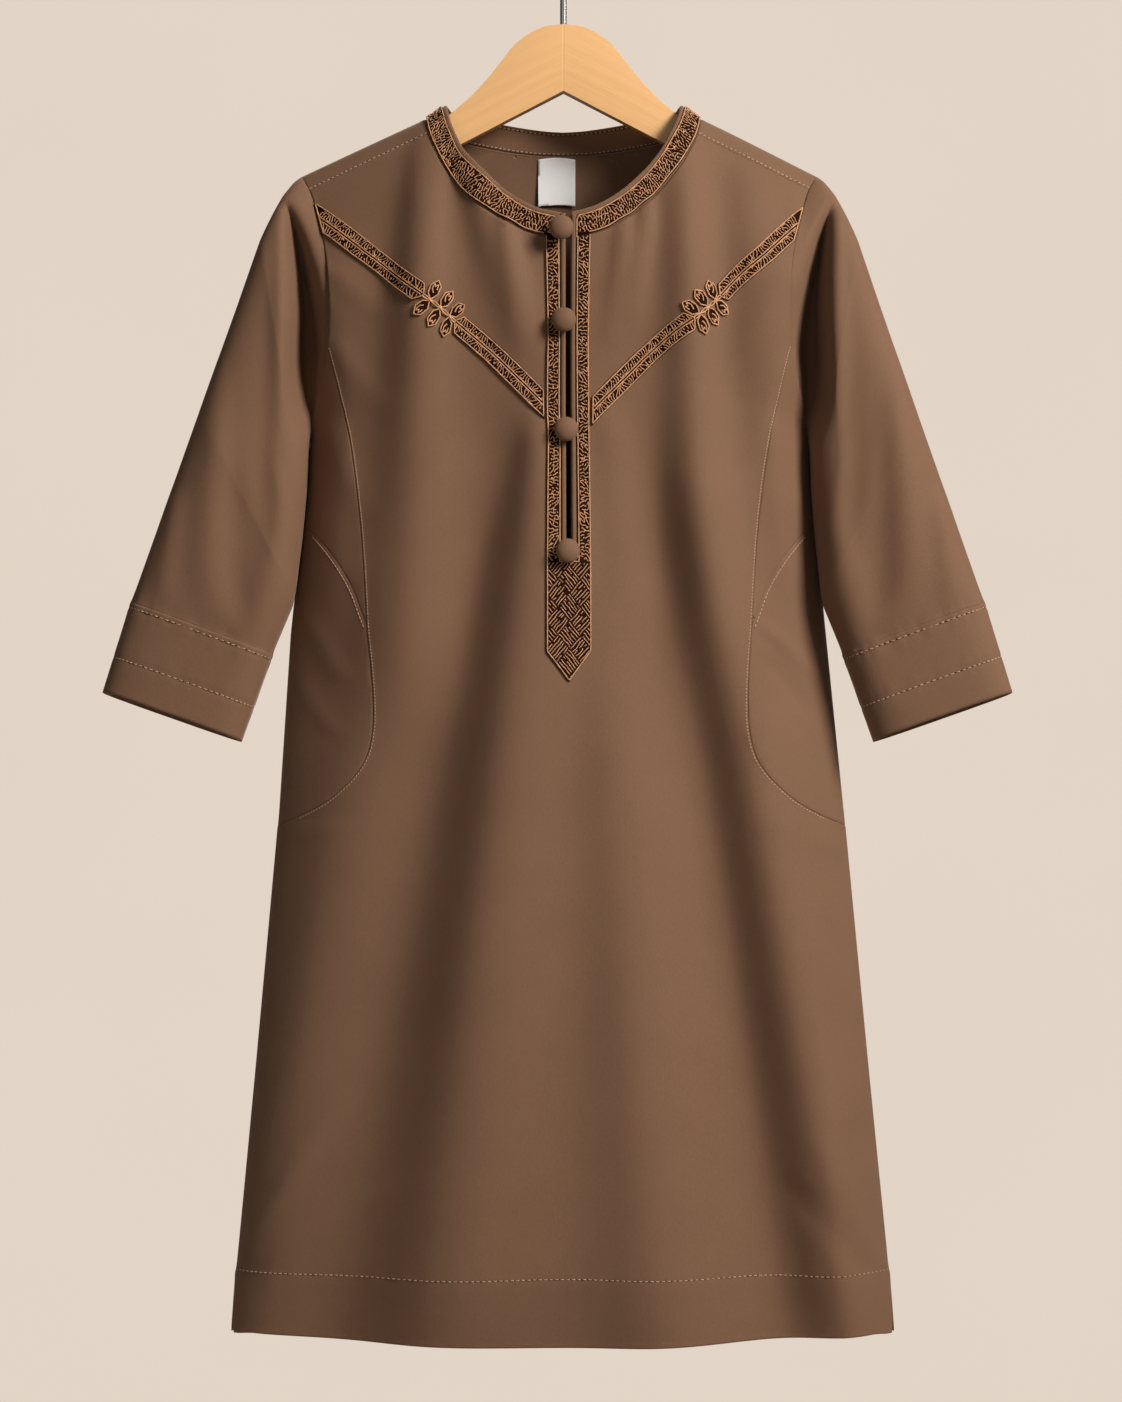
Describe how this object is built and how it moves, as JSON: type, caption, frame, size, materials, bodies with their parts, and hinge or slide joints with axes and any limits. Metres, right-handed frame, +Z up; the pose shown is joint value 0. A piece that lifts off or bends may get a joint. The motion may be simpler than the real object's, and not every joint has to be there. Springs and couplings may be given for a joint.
{
  "type": "thobe robe on a wooden hanger",
  "caption": "Small child's straight brown robe with corded braid round the neck, placket and chest, hanging flat on a short wooden hanger.",
  "frame": {"origin": "inside top of the hanger's hook, where a rail carries it", "axes": "+Z up, the robe's front towards -Y, the wearer's left at +X"},
  "size_m": [0.4528, 0.1012, 0.7239],
  "materials": {
    "cloth": "matt, fine twill",
    "braid": "satin cord",
    "button": "matt",
    "label": "woven satin",
    "wood": "clear varnish",
    "wire": "polished"
  },
  "bodies": {
    "root": {"back": "cloth", "button_1": "button", "button_2": "button", "button_3": "button", "button_4": "button", "chest_braid_lower_left": "braid", "chest_braid_lower_right": "braid", "chest_braid_upper_left": "braid", "chest_braid_upper_right": "braid", "cuff_left": "cloth", "cuff_right": "cloth", "front": "cloth", "hanger_hook": "wire", "hanger_wood": "wood", "knot_left": "braid", "knot_right": "braid", "label": "label", "neck_band": "cloth", "neck_braid": "braid", "opening_binding_left": "cloth", "opening_binding_right": "cloth", "placket_braid_left": "braid", "placket_braid_right": "braid", "placket_tip": "braid", "pocket_left": "cloth", "pocket_right": "cloth", "side_front_left": "cloth", "side_front_right": "cloth", "sleeve_left": "cloth", "sleeve_right": "cloth"}
  },
  "joints": []
}
